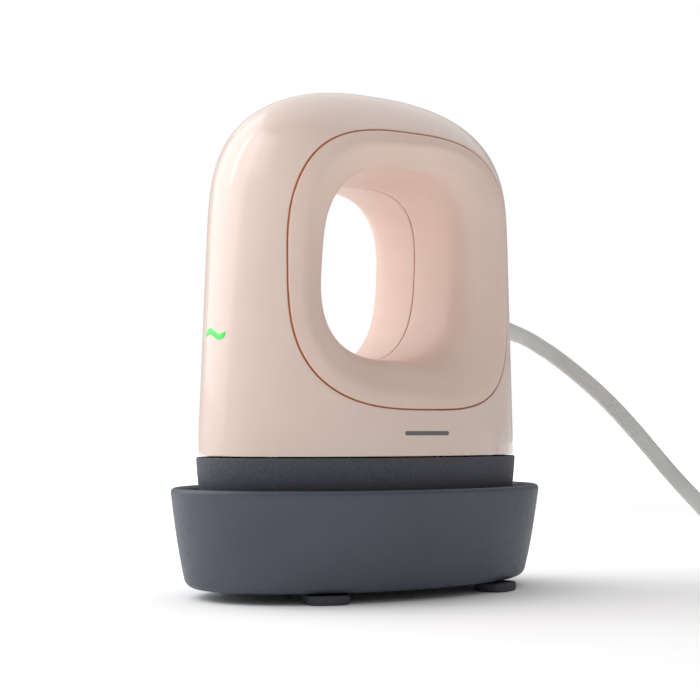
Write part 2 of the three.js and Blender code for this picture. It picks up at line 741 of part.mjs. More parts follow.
// Each lead's points run from the piece it comes from to the control board.
function addLead(name, look, points) {
  add(name, geometryOf(solid(tube(points, leadRadius, 6, 9))), look);
}

// A live lead on the side of +Y and its neutral twin, mirrored to -Y.
function addPair(name, points) {
  const mirrored = points.map(([x, y, z]) => [x, -y, z]);
  addLead(`${name}_live`, "red", points);
  addLead(`${name}_neutral`, "blue", mirrored);
}

addPair("heater_lead", [[31, 7, 28.2], [31.5, 6.4, 32], [32.5, 5.5, 36], [31.5, 6, 41], [27, 4, 43]]);
addPair("mains_lead", [[26, 1.4, 79], [25.6, 4.6, 75], [26.5, 7, 66], [27.5, 8, 56], [22.5, 3.2, 49.8]]);
addLead("sensor_lead", "white", [[-5, 0.5, 26], [-4.5, 0, 30], [-4, 0, 34], [-3, 0, 37.4]]);
addLead("button_lead", "white", [
  [28.8, 5.6, 93],
  [28, 9, 80],
  [29.5, 11.5, 62],
  [27, 12, 46],
  [24, 12.5, 41],
]);
addLead("light_lead", "white", [[-37.6, 3, 61], [-36, 5, 56], [-32, 7, 51], [-28, 9, 46], [-24, 10, 41]]);

add("cord_bushing", cordBushing(), "cord");
add("cord_inner_end", cordInnerEnd(), "cord");
add("cord_clamp", cordClamp(), "frame");
add("power_cord", geometryOf(solid(tube(hangingRoute, cord.radius, 8, 16))), "cord");
add("cord_coil", cordCoil(), "cord");
add("cord_tail", geometryOf(solid(tube(tailRoute, cord.radius, 8, 5))), "cord");
add("coil_tie", coilTie(), "black");
add("plug_body", plugBody(), "cord");
add("plug_blade_1", plugBlade(-6.35), "steel");
add("plug_blade_2", plugBlade(6.35), "steel");

export default part;
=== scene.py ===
"""Looks of a small upright clothes iron standing in its cradle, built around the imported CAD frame.

Shapes are worked out in millimetres with the CAD's own formulas and turned into metres as each mesh
is made. -X is the end with the light, +X the end with the cord, -Y the side towards the camera.
"""

import math

import bmesh
import bpy
import numpy as np
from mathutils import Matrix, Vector


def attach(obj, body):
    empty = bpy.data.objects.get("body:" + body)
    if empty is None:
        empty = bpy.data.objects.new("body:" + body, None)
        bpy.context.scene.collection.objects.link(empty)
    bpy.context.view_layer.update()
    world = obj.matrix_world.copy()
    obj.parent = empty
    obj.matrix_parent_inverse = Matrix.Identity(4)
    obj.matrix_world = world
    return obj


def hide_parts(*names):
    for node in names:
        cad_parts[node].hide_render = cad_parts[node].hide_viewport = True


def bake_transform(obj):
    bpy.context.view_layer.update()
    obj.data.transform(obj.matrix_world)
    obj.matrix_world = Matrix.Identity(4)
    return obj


MM = 0.001
GAP = 0.35  # between pieces that touch on the real object
ROUND = 2.03  # superellipse power of the plan outlines

BODY_BOTTOM, BODY_TOP = 36.6, 134.7
BODY_HALF_LENGTH, BODY_HALF_WIDTH = 47.96, 29.37
TAPER = 0.058
END_SHOULDER, SIDE_SHOULDER = 81.8, 102.1
CROWN_POWER = 2.33
SHELL_WALL = 2.2

SEAM = {"a": 35.9, "b": 36.06, "z": 84.7, "power": 3.11}
HOLE = {"a": 21.67, "b": 25.1, "x": -3.55, "z": 86.4, "power": 2.84, "lean": 0.054}
INSERT_WALL = 2.0
RIM_BAND = 3.8  # flat rim of the handle insert, from the seam to the ridge
BEVEL_SINK = (10.2, -0.535)  # depth of the bevel's foot under the shell's surface: base, per mm of width
BEVEL_ROUNDING = (-8.3, 1.38)  # length of the bevel's curve into the hole's wall: base, per mm of width
BORE_CROWN = 2.0  # how much lower the hole's ceiling is in the middle than at its mouths

SKIRT = {"bottom": 11, "top": 36.2, "a": 48.4, "b": 29.8, "wall": 2.3}
PLATE = {"bottom": 8, "thickness": 5, "a": 41.3, "b": 24.4}
PLATE_BOSS = {"x": 26, "y": 15.5, "radius": 2.7, "bore": 1.6, "top": 29.65}
CRADLE = {"base": 2.7, "rim": 28.3, "a": 55, "b": 36.95, "base_a": 50.5, "base_b": 29.85, "wall": 2.6}
CRADLE_FLOOR = 2.4
CRADLE_EDGE = 2.2

FOOT_STEM = (27.5, 18.6)
STEM_RADIUS, STEM_HEAD_RADIUS = 1.5, 1.9
PAD = {"shift_x": 1.2, "shift_y": 3.3, "length": 11.4, "width": 9.6, "turn": 0.36}

LIGHT_Z = 67.7
WAVE = {"half": 4.9, "thick": 0.88, "swing": 0.8, "half_period": 4.9}
MARK = {"half": 7.2, "thick": 0.55, "z": 42.4}
BUTTON = {"z": 100, "radius": 6.5, "clearance": 0.45, "face_x": 45, "stem_x": 38.2}

CORD_RADIUS = 2.3
CORD_EXIT = (46, 0, 74.1)
CORD_DROP = 0.26  # radians below level, where the cord comes out
COIL = {"x": 163.5, "y": -24, "radius": 27.6, "bottom": 1.1, "pitch": 4.8}
PLUG = {"x": 182.5, "rear_y": -37.4, "z": 23.3, "relief": 12, "body": 26}

SKY_LEVEL = 0.35
LIGHTS_AIM_Z = 0.07
FLOOR_TONE = 1.24  # above 1, because the studio's floor is lit more than the iron
FLOOR_FADE = (0.45, 1.2)  # metres from the iron over which the floor goes over into plain white


# ---------------------------------------------------------------- meshes


def grid(points, close_u=True, close_v=False):
    """Vertices and quads over an array of points [u, v, 3]."""
    count_u, count_v = points.shape[:2]
    across = range(count_u if close_u else count_u - 1)
    along = range(count_v if close_v else count_v - 1)

    def at(u, v):
        return (u % count_u) * count_v + v % count_v

    faces = [(at(u, v), at(u + 1, v), at(u + 1, v + 1), at(u, v + 1)) for u in across for v in along]
    return points.reshape(-1, 3), faces


def together(*parts):
    """Several (vertices, faces) as one."""
    vertices, faces = [], []
    for part_vertices, part_faces in parts:
        start = sum(len(v) for v in vertices)
        vertices.append(np.asarray(part_vertices, float))
        faces.extend(tuple(i + start for i in face) for face in part_faces)
    return np.vstack(vertices), faces


def piece(name, shape, material, body, stands_for=(), sharp=38):
    """A named mesh in metres that rides on a body and may stand for CAD nodes."""
    vertices, faces = shape
    mesh = bpy.data.meshes.new(name)
    mesh.from_pydata((np.asarray(vertices, float) * MM).tolist(), [], faces)
    work = bmesh.new()
    work.from_mesh(mesh)
    bmesh.ops.remove_doubles(work, verts=work.verts, dist=2e-6)
    bmesh.ops.dissolve_degenerate(work, edges=work.edges, dist=1e-7)
    bmesh.ops.recalc_face_normals(work, faces=work.faces)
    work.to_mesh(mesh)
    work.free()
    mesh.shade_smooth()
    mesh.set_sharp_from_angle(angle=math.radians(sharp))
    mesh.materials.append(material)
    made = bpy.data.objects.new(name, mesh)
    bpy.context.scene.collection.objects.link(made)
    if body:
        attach(made, body)
    if stands_for:
        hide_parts(*stands_for)
    return made


def superellipse(a, b, power, angle):
    """Points of a superellipse at the given angles."""
    c, s = np.cos(angle), np.sin(angle)
    first = a * np.sign(c) * np.abs(c) ** (2 / power)
    second = b * np.sign(s) * np.abs(s) ** (2 / power)
    return first, second


def circle_angles(count):
    return np.linspace(0, 2 * np.pi, count, endpoint=False)


def loft(rings, slices=160, close=False):
    """A surface through level rings (a, b, z) or (a, b, z, power)."""
    angle = circle_angles(slices)
    rows = []
    for a, b, z, *power in rings:
        x, y = superellipse(a, b, power[0] if power else ROUND, angle)
        rows.append(np.stack([x, y, np.full(slices, float(z))], 1))
    return grid(np.stack(rows, 1), close_v=close)


def turned(profile, sides=48):
    """A turned piece about Z from [radius, height] pairs."""
    return loft([(r, r, z, 2) for r, z in profile], sides)


def moved(shape, offset):
    vertices, faces = shape
    return np.asarray(vertices, float) + np.asarray(offset, float), faces


def turned_towards_rear(shape, drop=0.0):
    """Lays a piece that stands on Z along +X, dropping by an angle."""
    vertices, faces = shape
    x, y, z = np.asarray(vertices, float).T
    c, s = math.cos(math.pi / 2 + drop), math.sin(math.pi / 2 + drop)
    return np.stack([c * x + s * z, y, c * z - s * x], 1), faces


def smooth_path(points, step):
    """Evenly spaced points on a smooth curve through the given ones."""
    points = np.array(points, float)
    ends = np.vstack([2 * points[0] - points[1], points, 2 * points[-1] - points[-2]])
    fine = []
    for i in range(1, len(ends) - 2):
        p0, p1, p2, p3 = ends[i - 1 : i + 3]
        for t in np.linspace(0, 1, 12, endpoint=False):
            bend = 2 * p0 - 5 * p1 + 4 * p2 - p3
            twist = -p0 + 3 * p1 - 3 * p2 + p3
            fine.append(p1 + 0.5 * (t * (p2 - p0) + t * t * bend + t**3 * twist))
    fine = np.array(fine + [points[-1]])
    length = np.concatenate([[0], np.cumsum(np.linalg.norm(np.diff(fine, axis=0), axis=1))])
    wanted = np.linspace(0, length[-1], int(length[-1] / step) + 2)
    return np.stack([np.interp(wanted, length, fine[:, k]) for k in range(3)], 1)


def tube(path, radius, sides=12):
    """A closed round tube along a path of close points."""
    ahead = np.gradient(path, axis=0)
    ahead /= np.linalg.norm(ahead, axis=1)[:, None]
    side = np.cross(ahead[0], [0, 0, 1.0])
    side /= np.linalg.norm(side)
    rows = []
    angle = circle_angles(sides)
    for point, forward in zip(path, ahead):
        side = side - forward * (side @ forward)
        side /= np.linalg.norm(side)
        other = np.cross(forward, side)
        rows.append(point + radius * (np.outer(np.cos(angle), side) + np.outer(np.sin(angle), other)))
    first = np.repeat(path[:1], sides, 0)
    last = np.repeat(path[-1:], sides, 0)
    return grid(np.stack([first, *rows, last], 1))


# ---------------------------------------------------------------- materials


def colour(red, green, blue):
    """A screen colour, 0 to 255, as the linear colour that a shader takes."""
    parts = [c / 255 for c in (red, green, blue)]
    return (*[c / 12.92 if c < 0.04045 else ((c + 0.055) / 1.055) ** 2.4 for c in parts], 1.0)


class Look:
    """A node material in the making, on object coordinates in metres."""

    def __init__(self, name, roughness, metallic=0.0, **sockets):
        self.material = bpy.data.materials.new(name)
        self.material.use_nodes = True
        self.nodes = self.material.node_tree.nodes
        self.links = self.material.node_tree.links
        self.shader = self.nodes["Principled BSDF"]
        self.shader.inputs["Roughness"].default_value = roughness
        self.shader.inputs["Metallic"].default_value = metallic
        for socket, value in sockets.items():
            self.shader.inputs[socket.replace("_", " ")].default_value = value
        self.place = self.nodes.new("ShaderNodeTexCoord").outputs["Object"]

    def noise(self, scale, detail=3.0, stretch=(1, 1, 1), roughness=0.55):
        """A noise pattern with that many features per metre."""
        mapping = self.nodes.new("ShaderNodeMapping")
        mapping.inputs["Scale"].default_value = [scale * s for s in stretch]
        self.links.new(self.place, mapping.inputs["Vector"])
        noise = self.nodes.new("ShaderNodeTexNoise")
        noise.inputs["Scale"].default_value = 1
        noise.inputs["Detail"].default_value = detail
        noise.inputs["Roughness"].default_value = roughness
        self.links.new(mapping.outputs["Vector"], noise.inputs["Vector"])
        return noise.outputs["Fac"]

    def paint(self, pattern, first, second, low=0.35, high=0.65):
        """The base colour goes from first to second with a pattern."""
        ramp = self.nodes.new("ShaderNodeValToRGB")
        ramp.color_ramp.elements[0].position = low
        ramp.color_ramp.elements[0].color = first
        ramp.color_ramp.elements[1].position = high
        ramp.color_ramp.elements[1].color = second
        self.links.new(pattern, ramp.inputs["Fac"])
        self.links.new(ramp.outputs["Color"], self.shader.inputs["Base Color"])

    def gloss(self, pattern, smoothest, roughest):
        """The roughness varies with a pattern."""
        spread = self.nodes.new("ShaderNodeMapRange")
        spread.inputs["From Min"].default_value = 0.3
        spread.inputs["From Max"].default_value = 0.7
        spread.inputs["To Min"].default_value = smoothest
        spread.inputs["To Max"].default_value = roughest
        self.links.new(pattern, spread.inputs["Value"])
        self.links.new(spread.outputs["Result"], self.shader.inputs["Roughness"])

    def relief(self, pattern, depth, strength=1.0):
        """Fine relief of a depth in metres."""
        bump = self.nodes.new("ShaderNodeBump")
        bump.inputs["Distance"].default_value = depth
        bump.inputs["Strength"].default_value = strength
        self.links.new(pattern, bump.inputs["Height"])
        previous = self.shader.inputs["Normal"].links
        if previous:
            self.links.new(previous[0].from_socket, bump.inputs["Normal"])
        self.links.new(bump.outputs["Normal"], self.shader.inputs["Normal"])


def shell_look():
    look = Look("shell_gloss", 0.3, Coat_Weight=0.4, Coat_Roughness=0.05)
    look.paint(look.noise(55), colour(231, 209, 198), colour(234, 212, 201))
    look.gloss(look.noise(40), 0.28, 0.34)
    look.relief(look.noise(90, detail=0), 4e-5, 0.25)
    return look.material


def insert_look():
    look = Look("insert_satin", 0.46)
    look.paint(look.noise(60), colour(230, 205, 193), colour(234, 209, 197))
    look.gloss(look.noise(300), 0.42, 0.52)
    look.relief(look.noise(4200, detail=2), 1.2e-5, 0.5)
    return look.material


def painted_bounce_look():
    # Painted bounce light and shade: this orange-brown colour stands in for light bouncing about in the
    # narrow joints, not for the plastic's own colour.
    look = Look("painted_joint_bounce", 0.6)
    look.paint(look.noise(120), colour(202, 122, 78), colour(212, 134, 88))
    return look.material


def skirt_look():
    look = Look("skirt_grain", 0.62)
    look.paint(look.noise(2600, detail=2), colour(62, 64, 73), colour(78, 80, 90))
    look.gloss(look.noise(900), 0.55, 0.72)
    look.relief(look.noise(3400, detail=3), 6e-5, 0.8)
    return look.material


def cradle_look():
    look = Look("cradle_satin", 0.48)
    look.paint(look.noise(45), colour(68, 73, 84), colour(73, 78, 90))
    look.gloss(look.noise(700), 0.42, 0.54)
    look.relief(look.noise(3800, detail=2), 1.4e-5, 0.6)
    return look.material


def rubber_look():
    look = Look("foot_rubber", 0.7)
    look.paint(look.noise(200), colour(56, 58, 64), colour(66, 68, 75))
    look.relief(look.noise(5000, detail=2), 2.5e-5, 0.7)
    return look.material


def cord_look():
    look = Look("cord_sheath", 0.42)
    look.paint(look.noise(120), colour(208, 209, 206), colour(216, 217, 214))
    look.gloss(look.noise(800), 0.38, 0.48)
    look.relief(look.noise(2600, detail=2), 1.5e-5, 0.5)
    return look.material


def plate_look():
    look = Look("sole_metal", 0.32, metallic=0.9)
    look.paint(look.noise(160, stretch=(1, 12, 1)), colour(168, 169, 172), colour(190, 191, 193))
    look.gloss(look.noise(400, stretch=(1, 20, 1)), 0.26, 0.4)
    look.relief(look.noise(900, detail=2, stretch=(1, 16, 1)), 1e-5, 0.4)
    return look.material


def steel_look():
    look = Look("plain_steel", 0.34, metallic=1.0)
    look.paint(look.noise(300), colour(172, 173, 175), colour(190, 190, 192))
    look.gloss(look.noise(1200), 0.26, 0.44)
    look.relief(look.noise(2400, detail=2), 1e-5, 0.4)
    return look.material


def plain_look(name, first, second, roughness, grain=2600, depth=1.5e-5, metallic=0.0):
    """A moulded or pressed material with a slight change of tone and a fine grain."""
    look = Look(name, roughness, metallic=metallic)
    look.paint(look.noise(180), first, second)
    look.gloss(look.noise(900), roughness - 0.06, roughness + 0.06)
    look.relief(look.noise(grain, detail=2), depth, 0.6)
    return look.material


def element_look():
    return plain_look("element_sheath", colour(96, 90, 84), colour(128, 118, 108), 0.45, metallic=0.9)


def felt_look():
    look = Look("liner_felt", 0.95)
    look.paint(look.noise(1800, detail=5), colour(38, 39, 42), colour(66, 67, 71))
    look.relief(look.noise(2600, detail=5, roughness=0.7), 2e-4, 0.9)
    return look.material


def light_look():
    look = Look("indicator_glow", 0.25, Emission_Strength=0.42)
    look.shader.inputs["Emission Color"].default_value = colour(60, 220, 80)
    look.paint(look.noise(500), colour(70, 176, 80), colour(92, 196, 98))
    return look.material


def make_looks():
    return {
        "shell": shell_look(),
        "insert": insert_look(),
        # painted bounce light and shade for the faces in the joints
        "joint": painted_bounce_look(),
        "skirt": skirt_look(),
        "cradle": cradle_look(),
        "rubber": rubber_look(),
        "cord": cord_look(),
        "plate": plate_look(),
        "steel": steel_look(),
        "felt": felt_look(),
        "glow": light_look(),
        "element": element_look(),
        "mica": plain_look("pressed_mica", colour(190, 170, 128), colour(212, 194, 152), 0.8, 1800, 6e-5),
        "frame": plain_look("frame_moulding", colour(206, 203, 196), colour(216, 213, 206), 0.6),
        "circuit": plain_look("board_mask", colour(26, 74, 48), colour(34, 92, 60), 0.4),
        "black": plain_look("black_moulding", colour(26, 27, 29), colour(36, 37, 40), 0.5),
        "red": plain_look("red_lead", colour(160, 44, 38), colour(176, 54, 46), 0.45),
        "blue": plain_look("blue_lead", colour(44, 70, 118), colour(54, 84, 136), 0.45),
        "white": plain_look("white_lead", colour(214, 214, 210), colour(224, 224, 220), 0.5),
        "clear": plain_look("light_guide", colour(228, 232, 230), colour(238, 240, 239), 0.2),
        "mark": plain_look("printed_mark", colour(104, 101, 100), colour(112, 109, 108), 0.4),
    }


# ---------------------------------------------------------------- shape of the iron's body


def turned_over(z, shoulder, power, root, top):
    part = np.clip((z - shoulder) / (top - shoulder), 0, 1)
    return (1 - part**power) ** (1 / root)


def body_ring(z, inset=0.0):
    """The half-length, half-width and power of the body's outline at a height."""
    top = BODY_TOP - inset
    straight = BODY_HALF_LENGTH - TAPER * (z - BODY_BOTTOM) - inset
    rise = np.clip((z - BODY_BOTTOM) / (BODY_TOP - BODY_BOTTOM), 0, 1)
    a = straight * turned_over(z, END_SHOULDER, 5, 2.27, top)
    b = (BODY_HALF_WIDTH - inset) * turned_over(z, SIDE_SHOULDER, 2.07, 1.75, top)
    return a, b, ROUND + (CROWN_POWER - ROUND) * rise


def side_y(x, z, inset=0.0):
    """How far the body stands out from the middle plane at a point of the side view."""
    a, b, power = body_ring(z, inset)
    part = np.clip(np.abs(x) / np.maximum(a, 1e-9), 0, 1)
    return b * (1 - part**power) ** (1 / power)


def seam_point(angle, grow=0.0):
    x, z = superellipse(SEAM["a"] + grow, SEAM["b"] + grow, SEAM["power"], angle)
    return x, SEAM["z"] + z


def hole_point(angle, grow=0.0):
    x, z = superellipse(HOLE["a"] + grow, HOLE["b"] + grow, HOLE["power"], angle)
    return HOLE["x"] + x + HOLE["lean"] * z, HOLE["z"] + z


def silhouette_reach(direction, inset):
    """How far the body's side view reaches from the seam's centre in each direction."""
    rise = 1 - (1 - np.linspace(0, 1, 4000)) ** 3
    z = BODY_BOTTOM + (BODY_TOP - inset - BODY_BOTTOM) * rise
    a = body_ring(z, inset)[0]
    a[-1] = 0
    floor_x = np.linspace(0, a[0], 400, endpoint=False)
    x = np.concatenate([floor_x, a])
    height = np.concatenate([np.full(400, BODY_BOTTOM), z]) - SEAM["z"]
    turn = np.arctan2(x, -height)  # 0 straight down, pi straight up
    reach = np.hypot(x, height)
    return np.interp(np.abs(direction), turn, reach)


def shell_columns():
    """Directions round the seam's centre, from straight down, with one through each bottom corner."""
    directions = set(np.linspace(-math.pi, math.pi, 240, endpoint=False))
    for inset in (0.0, SHELL_WALL):
        corner = math.atan2(BODY_HALF_LENGTH - inset, SEAM["z"] - BODY_BOTTOM)
        directions |= {corner, -corner}
    return np.array(sorted(directions))


def seam_reach(direction, grow):
    c, s = np.abs(np.sin(direction)), np.abs(np.cos(direction))
    power = SEAM["power"]
    return ((c / (SEAM["a"] + grow)) ** power + (s / (SEAM["b"] + grow)) ** power) ** (-1 / power)


def shell_half(side):
    """One side of the shell: up the inner wall, over the window's rounded lip and out to the silhouette."""
    direction = shell_columns()
    away = np.stack([np.sin(direction), -np.cos(direction)])

    def at(reach):
        return away[0] * reach, SEAM["z"] + away[1] * reach

    def surface_row(share, start_grow, inset):
        start = seam_reach(direction, start_grow)
        reach = start + (silhouette_reach(direction, inset) - start) * math.sin(share * math.pi / 2)
        x, z = at(reach)
        z = np.maximum(z, BODY_BOTTOM)
        if share == 1:
            on_bottom = z < BODY_BOTTOM + 1e-6
            return x, np.where(on_bottom, side_y(x, z, inset), 0.0), z
        return x, side_y(x, z, inset), z

    rows = [surface_row(share, GAP, SHELL_WALL) for share in np.linspace(1, 0, 16)]
    lip = 0.3
    x, z = at(seam_reach(direction, GAP))
    for share in (0.35, 0.7, 1):
        deep = side_y(x, z, SHELL_WALL)
        rows.append((x, deep + (side_y(x, z) - lip - deep) * share, z))
    for turn in np.radians([22.5, 45, 67.5]):
        x, z = at(seam_reach(direction, GAP + lip * (1 - math.cos(turn))))
        rows.append((x, side_y(x, z) - lip * (1 - math.sin(turn)), z))
    rows += [surface_row(share, GAP + lip, 0.0) for share in np.linspace(0, 1, 44)]
    rows = [np.stack([x, side * y, z], 1) for x, y, z in rows]
    vertices, faces = grid(np.stack(rows, 1))
    count = len(rows)
    bottom = np.abs(rows[-1][:, 2] - BODY_BOTTOM) < 1e-6
    total = len(direction)
    for u in range(total):
        following = (u + 1) % total
        if bottom[u] and bottom[following]:
            ends = (u * count, following * count, following * count + count - 1, u * count + count - 1)
            faces.append(ends)
    return vertices, faces


def drill(target, shape, name):
    """Cuts a closed shape out of a mesh and keeps the shading of the surface round the hole."""
    cutter = piece(name, shape, target.data.materials[0], None)
    before = target.copy()
    before.data = target.data.copy()
    bpy.context.scene.collection.objects.link(before)
    cut = target.modifiers.new("cut", "BOOLEAN")
    cut.object = cutter
    cut.solver = "EXACT"
    keep = target.modifiers.new("keep_shading", "DATA_TRANSFER")
    keep.object = before
    keep.use_loop_data = True
    keep.data_types_loops = {"CUSTOM_NORMAL"}
    keep.loop_mapping = "POLYINTERP_NEAREST"
    bpy.context.view_layer.objects.active = target
    for modifier in (cut, keep):
        bpy.ops.object.modifier_apply(modifier=modifier.name)
    for helper in (cutter, before):
        bpy.data.objects.remove(helper)


def make_shell(looks):
    shape = together(shell_half(-1), shell_half(1))
    shell = piece("outer_shell_skin", shape, looks["shell"], "iron", ["outer_shell"])
    radius = BUTTON["radius"] + BUTTON["clearance"]
    well = turned([(0, 36), (radius, 36), (radius, 50), (0, 50)], 72)
    drill(shell, moved(turned_towards_rear(well), (0, 0, BUTTON["z"])), "button_well")
    passage = turned([(0, -8), (3.75, -8), (3.75, 6), (0, 6)], 48)
    drill(shell, moved(turned_towards_rear(passage, CORD_DROP), CORD_EXIT), "cord_passage")


def insert_half(side):
    """One half of the saddle round the hand hole: a flat rim, a ridge, a bevel and the bore's wall."""
    columns = 240
    angle = circle_angles(columns)
    seam_x, seam_z = seam_point(angle)
    middle = np.full(columns, side * GAP * 0.5)

    def band(share, grow, sink):
        """A point of the flat rim, from the seam (0) to the ridge (1)."""
        bore_x, bore_z = hole_point(angle, grow)
        width = np.hypot(bore_x - seam_x, bore_z - seam_z)
        part = share * RIM_BAND / width
        x, z = seam_x + (bore_x - seam_x) * part, seam_z + (bore_z - seam_z) * part
        return np.stack([x, side * (side_y(x, z) - sink), z], 1)

    def bevel(grow, sink):
        """The ridge, the curve's start, corner and end, and the middle of the hole's wall."""
        ridge = band(1, grow, sink)
        bore_x, bore_z = hole_point(angle, grow)
        width = np.hypot(bore_x - ridge[:, 0], bore_z - ridge[:, 2])
        depth = side_y(bore_x, bore_z) - sink - (BEVEL_SINK[0] + BEVEL_SINK[1] * width)
        corner = np.stack([bore_x, side * depth, bore_z], 1)
        bore = flange(grow)
        rounding = np.clip(BEVEL_ROUNDING[0] + BEVEL_ROUNDING[1] * width, 1.2, 0.8 * width)[:, None]

        def towards(point):
            way = point - corner
            return corner + way * rounding / np.linalg.norm(way, axis=1)[:, None]

        return ridge, towards(ridge), corner, towards(bore), bore

    def wall(grow, depth):
        x, z = seam_point(angle, grow)
        return np.stack([x, side * (side_y(seam_x, seam_z) - depth), z], 1)

    def flange(grow, y=None):
        """The edge of the half in the middle of the hole."""
        x, z = hole_point(angle, grow)
        sag = BORE_CROWN * np.clip(np.sin(angle), 0, 1) ** 2
        return np.stack([x, middle if y is None else np.full(columns, y), z - sag], 1)

    def round_off(start, corner, end, steps=5):
        shares = np.linspace(0, 1, steps)
        return [(1 - t) ** 2 * start + 2 * t * (1 - t) * corner + t * t * end for t in shares]

    def between(start, end, steps):
        return [start + (end - start) * t for t in np.linspace(0, 1, steps + 2)[1:-1]]

    edge, ridge_part, ledge = 0.28, 0.16, 0.7
    ridge, start, corner, end, bore = bevel(0, 0)
    below_ridge = ridge + (start - ridge) * ridge_part * 2
    above_flange = bore + (end - bore) * edge / np.linalg.norm(end - bore, axis=1)[:, None]
    rows = [wall(0.3, 2), wall(0.3, ledge), wall(0, ledge)]
    rows += round_off(wall(0, edge), band(0, 0, 0), band(0.08, 0, 0))
    rows += [band(share, 0, 0) for share in np.linspace(0.14, 0.6, 6)]
    rows += round_off(band(0.66, 0, 0), ridge, below_ridge, 9)
    rows += between(below_ridge, start, 8) + round_off(start, corner, end, 24)
    rows += between(end, above_flange, 14) + round_off(above_flange, bore, flange(edge))
    if side < 0:
        tongue = GAP * 0.4
        rows += [flange(0.5), flange(0.5, tongue), flange(1, tongue), flange(1)]
    rows += [flange(1.2)]
    ridge, start, corner, end, bore = bevel(INSERT_WALL, INSERT_WALL)
    rows += [bore, *round_off(end, corner, start), ridge, band(0, INSERT_WALL, INSERT_WALL)]
    return grid(np.stack(rows, 1), close_v=True)


def paint_bounce_in_joints(insert, material):
    """Paints bounce light and shade into the narrow joints: the faces in them get the orange-brown colour
    that light bouncing about in them would give.
    """
    insert.data.materials.append(material)
    for face in insert.data.polygons:
        x, y, z = (c / MM for c in face.center)
        along, up = abs(x) / SEAM["a"], abs(z - SEAM["z"]) / SEAM["b"]
        at_outline = along ** SEAM["power"] + up ** SEAM["power"] > 0.999
        in_seam = at_outline and abs(y) < side_y(x, z) - 0.2
        in_bore_joint = abs(y) < GAP * 0.5 + 0.005
        if in_seam or in_bore_joint:
            face.material_index = 1


def make_inserts(looks):
    for side, word in ((-1, "left"), (1, "right")):
        name = f"{word}_handle_insert"
        insert = piece(f"{name}_skin", insert_half(side), looks["insert"], "iron", [name])
        paint_bounce_in_joints(insert, looks["joint"])


# ---------------------------------------------------------------- heated base and cradle


def skirt_ring(z, inset=0.0):
    down = (SKIRT["top"] - z) / (SKIRT["top"] - SKIRT["bottom"])
    draw = 1.3 * down + 3.4 * down**2
    return SKIRT["a"] - draw - inset, SKIRT["b"] - 0.8 * draw - inset, z


def make_skirt(looks):
    top, bottom, wall = SKIRT["top"], SKIRT["bottom"], SKIRT["wall"]
    edge = 0.35
    rings = [skirt_ring(z) for z in np.linspace(bottom + 0.5, top - edge, 20)]
    for turn in (0.5, 1.0):
        inset = edge * (1 - math.cos(turn))
        rings.append((*skirt_ring(top, inset)[:2], top - edge * (1 - math.sin(turn))))
    rings += [skirt_ring(top, edge), skirt_ring(top, wall)]
    rings += [skirt_ring(z, wall) for z in np.linspace(top - 2, bottom + 4, 6)]
    lip = (PLATE["a"] + GAP, PLATE["b"] + GAP)
    rings += [(*lip, bottom + 2.4), (*lip, bottom + 0.3)]
    rings += [(lip[0] + 0.3, lip[1] + 0.3, bottom), skirt_ring(bottom, 0.5)]
    rings += [(*skirt_ring(bottom, 0.15)[:2], bottom + 0.15)]
    piece("heat_skirt_skin", loft(rings, close=True), looks["skirt"], "iron", ["heat_skirt"])


def make_plate(looks):
    """The sole plate with a rounded edge, and its four screw bosses."""
    bottom, top = PLATE["bottom"], PLATE["bottom"] + PLATE["thickness"]
    a, b, edge = PLATE["a"], PLATE["b"], 1.2
    rings = [(0, 0, bottom), (a * 0.5, b * 0.5, bottom), (a - edge, b - edge, bottom)]
    for t in np.radians([15, 30, 45, 60, 75, 90]):
        inset = edge * (1 - math.sin(t))
        rings.append((a - inset, b - inset, bottom + edge * (1 - math.cos(t))))
    rings += [(a, b, top), (0, 0, top)]
    bore, radius, boss_top = PLATE_BOSS["bore"], PLATE_BOSS["radius"], PLATE_BOSS["top"]
    start = (bore, top - 0.5)
    boss = turned([start, (radius, top - 0.5), (radius, boss_top), (bore, boss_top), start], 24)
    boss_x, boss_y = PLATE_BOSS["x"], PLATE_BOSS["y"]
    bosses = [moved(boss, (x, y, 0)) for x in (-boss_x, boss_x) for y in (-boss_y, boss_y)]
    shape = together(loft(rings), *bosses)
    piece("heat_plate_skin", shape, looks["plate"], "iron", ["heat_plate"])


def cradle_ring(z, inset=0.0):
    down = (CRADLE["rim"] - z) / (CRADLE["rim"] - CRADLE["base"])
    bow = 0.66 * down + 0.22 * down**3
    a = CRADLE["a"] - (CRADLE["a"] - CRADLE["base_a"]) * bow - inset
    b = CRADLE["b"] - (CRADLE["b"] - CRADLE["base_b"]) * bow - inset
    return a, b, z


def make_cradle(looks):
    base, rim, wall = CRADLE["base"], CRADLE["rim"], CRADLE["wall"]
    floor = base + CRADLE_FLOOR
    rings = [(0, 0, base), (*cradle_ring(base, 8)[:2], base), (*cradle_ring(base, CRADLE_EDGE)[:2], base)]
    for t in np.radians([18, 36, 54, 72, 90]):
        inset = CRADLE_EDGE * (1 - math.sin(t))
        z = base + CRADLE_EDGE * (1 - math.cos(t))
        rings.append((*cradle_ring(z, inset)[:2], z))
    rings += [cradle_ring(z) for z in np.linspace(base + CRADLE_EDGE + 1, rim - 1.3, 22)]
    half = wall / 2
    for t in np.radians([20, 40, 60, 80, 100, 120, 140, 160]):
        z = rim - half * (1 - math.sin(t))
        rings.append((*cradle_ring(z, half * (1 - math.cos(t)))[:2], z))
    rings += [cradle_ring(z, wall) for z in np.linspace(rim - 1.3, floor + 2, 12)]
    rings += [(*cradle_ring(floor, wall + 1.2)[:2], floor), (0, 0, floor)]
    piece("cradle_tray_skin", loft(rings, 192), looks["cradle"], "cradle", ["cradle_tray"])


